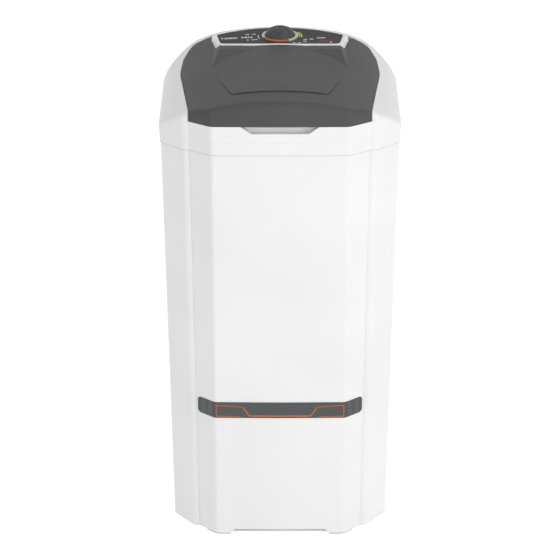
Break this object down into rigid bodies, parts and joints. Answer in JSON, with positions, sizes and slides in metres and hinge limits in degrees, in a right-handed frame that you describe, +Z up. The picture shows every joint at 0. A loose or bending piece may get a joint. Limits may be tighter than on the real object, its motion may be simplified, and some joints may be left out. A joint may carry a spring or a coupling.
{
  "type": "semi-automatic washing machine",
  "caption": "Top-loading semi-automatic washing machine: tapered faceted white cabinet, dark hinged lid, rear dial console, round tub with belt-driven pulsator.",
  "frame": {"origin": "on the floor, under the middle of the bounding box of the whole machine with its drain spigot", "axes": "+Z up, -Y is the front with the lid's finger recess, +X to the right seen from the front"},
  "size_m": [0.4964, 0.5172, 0.9994],
  "materials": {
    "white_enamel": "glossy white moulded",
    "white_plastic": "glossy white moulded",
    "dark_lid": "semi-gloss dark grey, moulded",
    "dark_panel": "satin dark grey",
    "dark_knob": "satin charcoal",
    "satin_ring": "satin silver",
    "dark_trim": "dark, finely woven look",
    "black_plastic": "matt black",
    "grey_plastic": "matt grey",
    "pale_plastic": "pale grey moulded",
    "tub_plastic": "pale moulded polypropylene",
    "filter_plastic": "pale blue-grey moulded",
    "black_rubber": "matt",
    "grey_rubber": "pale, matt",
    "zinc_steel": "zinc plated",
    "galvanised_plate": "galvanised",
    "cast_alloy": "as cast",
    "lamination_steel": "stacked laminations, varnished",
    "copper_winding": "varnished enamelled wire",
    "bush_bronze": "sintered"
  },
  "bodies": {
    "machine": {"cabinet_front": "white_enamel", "cabinet_left": "white_enamel", "cabinet_right": "white_enamel", "cabinet_rear": "white_enamel", "rear_cover": "grey_plastic", "cover_screws": "zinc_steel", "trim_strip": "dark_trim", "base_frame": "white_plastic", "feet": "grey_rubber", "foot_screws": "zinc_steel", "top_frame": "white_plastic", "frame_screws": "zinc_steel", "console_panel": "dark_panel", "dial_ring": "satin_ring", "timer_body": "pale_plastic", "timer_screws": "zinc_steel", "tub": "tub_plastic", "hub_gasket": "black_rubber", "hub_nut": "pale_plastic", "bracket_plate": "galvanised_plate", "plate_bolts": "zinc_steel", "bearing_housing": "cast_alloy", "flange_bolts": "zinc_steel", "shaft_bushes": "bush_bronze", "shaft_seal": "black_rubber", "drive_belt": "black_rubber", "motor_lower_shield": "cast_alloy", "motor_upper_shield": "cast_alloy", "motor_stator": "lamination_steel", "motor_windings": "copper_winding", "motor_grommets": "black_rubber", "motor_spacers": "zinc_steel", "motor_bolts": "zinc_steel", "capacitor": "black_plastic", "capacitor_nut": "zinc_steel", "drain_pipe": "grey_plastic", "drain_nut": "grey_plastic", "cord_gland": "black_plastic", "filter_guide": "tub_plastic"},
    "lid": {"lid": "dark_lid", "lid_pins": "zinc_steel", "lid_bumpers": "black_rubber"},
    "timer": {"timer_knob": "dark_knob", "timer_shaft": "zinc_steel"},
    "pulsator": {"pulsator": "pale_plastic", "pulsator_screw": "zinc_steel", "pulsator_cap": "dark_knob", "drive_shaft": "zinc_steel", "shaft_spacer": "zinc_steel", "driven_pulley": "cast_alloy", "pulley_nut": "zinc_steel"},
    "rotor": {"motor_rotor": "lamination_steel", "motor_shaft": "zinc_steel", "motor_pulley": "cast_alloy", "pulley_clip": "zinc_steel", "cooling_fan": "black_plastic"},
    "filter": {"filter_frame": "filter_plastic", "filter_mesh": "filter_plastic"}
  },
  "joints": [
    {"name": "lid_hinge", "type": "hinge", "parent": "machine", "child": "lid", "pos_m": [0, 0.178, 0.951], "axis": [-1, 0, 0], "range_deg": [0, 95]},
    {"name": "timer_turn", "type": "hinge", "parent": "machine", "child": "timer", "pos_m": [0, 0.145, 0.97884], "axis": [0, -0.1127, 0.9936], "range_deg": [0, 330]},
    {"name": "pulsator_spin", "type": "hinge", "parent": "machine", "child": "pulsator", "pos_m": [0, -0.013, 0.26], "axis": [0, 0, 1], "continuous": true},
    {"name": "motor_spin", "type": "hinge", "parent": "machine", "child": "rotor", "pos_m": [0, 0.133, 0.15], "axis": [0, 0, 1], "continuous": true},
    {"name": "filter_lift", "type": "slide", "parent": "machine", "child": "filter", "axis": [0, 0, 1], "range_m": [0, 0.15]}
  ],
  "couplings": [
    {"joint": "motor_spin", "follows": "pulsator_spin", "ratio": 4.6404}
  ]
}
